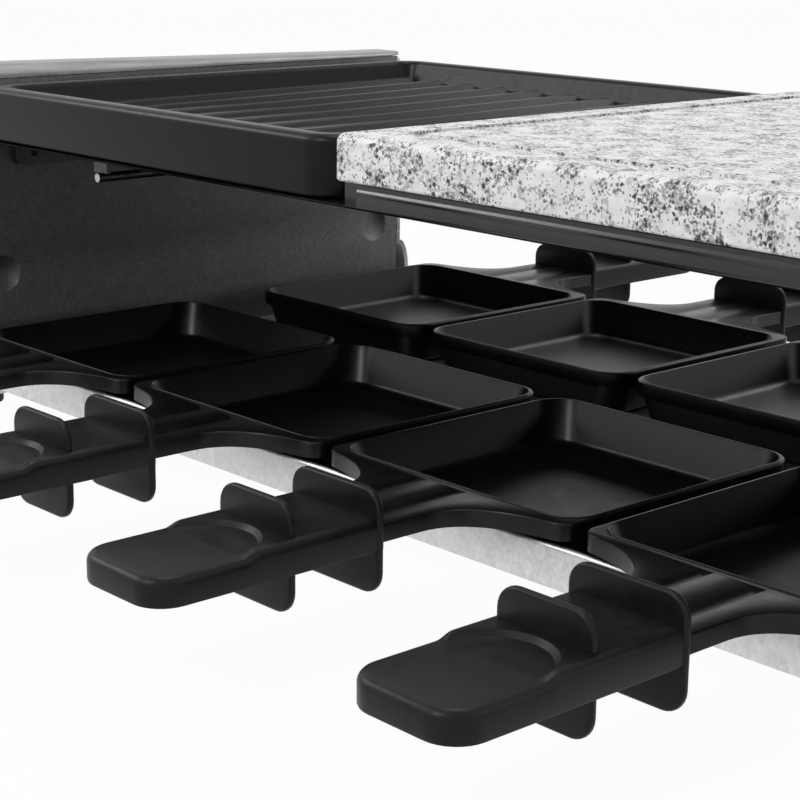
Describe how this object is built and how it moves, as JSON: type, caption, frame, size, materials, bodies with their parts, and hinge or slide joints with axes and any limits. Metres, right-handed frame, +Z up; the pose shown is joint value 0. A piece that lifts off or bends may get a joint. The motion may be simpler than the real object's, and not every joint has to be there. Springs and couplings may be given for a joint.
{
  "type": "raclette grill",
  "caption": "Raclette grill with square pans in two rows on a base tray, end covers, and a ribbed cast plate and a granite plate side by side on a frame above a heating element.",
  "frame": {"origin": "on the table, at the middle of the footprint over the pan handles and the carrying handles", "axes": "+X to the right along the grill, from the ribbed plate towards the granite plate and the control end; -Y out of the front row of pans; +Z up"},
  "size_m": [0.515, 0.449, 0.1309],
  "materials": {
    "galvanised_sheet": "galvanised, mottled",
    "brushed_steel": "brushed",
    "nonstick_coating": "dark non-stick coating, satin",
    "cast_plate_coating": "dark non-stick coating, slightly grainy",
    "black_plastic": "fine grained matt black",
    "black_frame_enamel": "semi-gloss black enamel",
    "granite": "polished, light with black and grey grains",
    "element_sheath": "dull, heat tinted",
    "zinc_plated_steel": "bright zinc",
    "foot_rubber": "matt",
    "lamp_lens": "clear red"
  },
  "bodies": {
    "base": {"base_tray": "galvanised_sheet", "left_inner_panel": "galvanised_sheet", "right_inner_panel": "galvanised_sheet", "left_end_cover": "brushed_steel", "right_end_cover": "brushed_steel", "left_top_trim": "brushed_steel", "right_top_trim": "brushed_steel", "left_carrying_handle": "black_plastic", "right_carrying_handle": "black_plastic", "left_front_foot": "foot_rubber", "left_back_foot": "foot_rubber", "right_front_foot": "foot_rubber", "right_back_foot": "foot_rubber", "left_end_cover_screw_front": "zinc_plated_steel", "left_end_cover_screw_back": "zinc_plated_steel", "right_end_cover_screw_front": "zinc_plated_steel", "right_end_cover_screw_back": "zinc_plated_steel", "left_frame_bracket": "black_frame_enamel", "right_frame_bracket": "black_frame_enamel", "left_frame_bracket_screw_front": "zinc_plated_steel", "left_frame_bracket_screw_back": "zinc_plated_steel", "right_frame_bracket_screw_front": "zinc_plated_steel", "right_frame_bracket_screw_back": "zinc_plated_steel", "plate_frame": "black_frame_enamel", "heating_element": "element_sheath", "element_support_rod": "zinc_plated_steel", "thermostat_body": "black_plastic", "pilot_lamp_lens": "lamp_lens", "terminal_block": "black_plastic", "cord_gland": "black_plastic"},
    "ribbed_plate": {"grill_plate": "cast_plate_coating"},
    "granite_plate": {"stone_plate": "granite"},
    "thermostat_control": {"control_knob": "black_plastic", "thermostat_shaft": "zinc_plated_steel"},
    "pan_front_1": {"front_pan_1": "nonstick_coating", "front_pan_handle_1": "black_plastic"},
    "pan_front_2": {"front_pan_2": "nonstick_coating", "front_pan_handle_2": "black_plastic"},
    "pan_front_3": {"front_pan_3": "nonstick_coating", "front_pan_handle_3": "black_plastic"},
    "pan_front_4": {"front_pan_4": "nonstick_coating", "front_pan_handle_4": "black_plastic"},
    "pan_back_1": {"back_pan_1": "nonstick_coating", "back_pan_handle_1": "black_plastic"},
    "pan_back_2": {"back_pan_2": "nonstick_coating", "back_pan_handle_2": "black_plastic"},
    "pan_back_3": {"back_pan_3": "nonstick_coating", "back_pan_handle_3": "black_plastic"},
    "pan_back_4": {"back_pan_4": "nonstick_coating", "back_pan_handle_4": "black_plastic"}
  },
  "joints": [
    {"name": "ribbed_plate_lift", "type": "slide", "parent": "base", "child": "ribbed_plate", "axis": [0, 0, 1], "range_m": [0, 0.05]},
    {"name": "granite_plate_lift", "type": "slide", "parent": "base", "child": "granite_plate", "axis": [0, 0, 1], "range_m": [0, 0.05]},
    {"name": "thermostat_turn", "type": "hinge", "parent": "base", "child": "thermostat_control", "pos_m": [0.2313, -0.06, 0.055], "axis": [-1, 0, 0], "range_deg": [0, 270]},
    {"name": "pan_front_1_out", "type": "slide", "parent": "base", "child": "pan_front_1", "axis": [0, -0.45, 0.893], "range_m": [0, 0.055]},
    {"name": "pan_front_2_out", "type": "slide", "parent": "base", "child": "pan_front_2", "axis": [0, -0.45, 0.893], "range_m": [0, 0.055]},
    {"name": "pan_front_3_out", "type": "slide", "parent": "base", "child": "pan_front_3", "axis": [0, -0.45, 0.893], "range_m": [0, 0.055]},
    {"name": "pan_front_4_out", "type": "slide", "parent": "base", "child": "pan_front_4", "axis": [0, -0.45, 0.893], "range_m": [0, 0.055]},
    {"name": "pan_back_1_out", "type": "slide", "parent": "base", "child": "pan_back_1", "axis": [0, 0.45, 0.893], "range_m": [0, 0.055]},
    {"name": "pan_back_2_out", "type": "slide", "parent": "base", "child": "pan_back_2", "axis": [0, 0.45, 0.893], "range_m": [0, 0.055]},
    {"name": "pan_back_3_out", "type": "slide", "parent": "base", "child": "pan_back_3", "axis": [0, 0.45, 0.893], "range_m": [0, 0.055]},
    {"name": "pan_back_4_out", "type": "slide", "parent": "base", "child": "pan_back_4", "axis": [0, 0.45, 0.893], "range_m": [0, 0.055]}
  ]
}
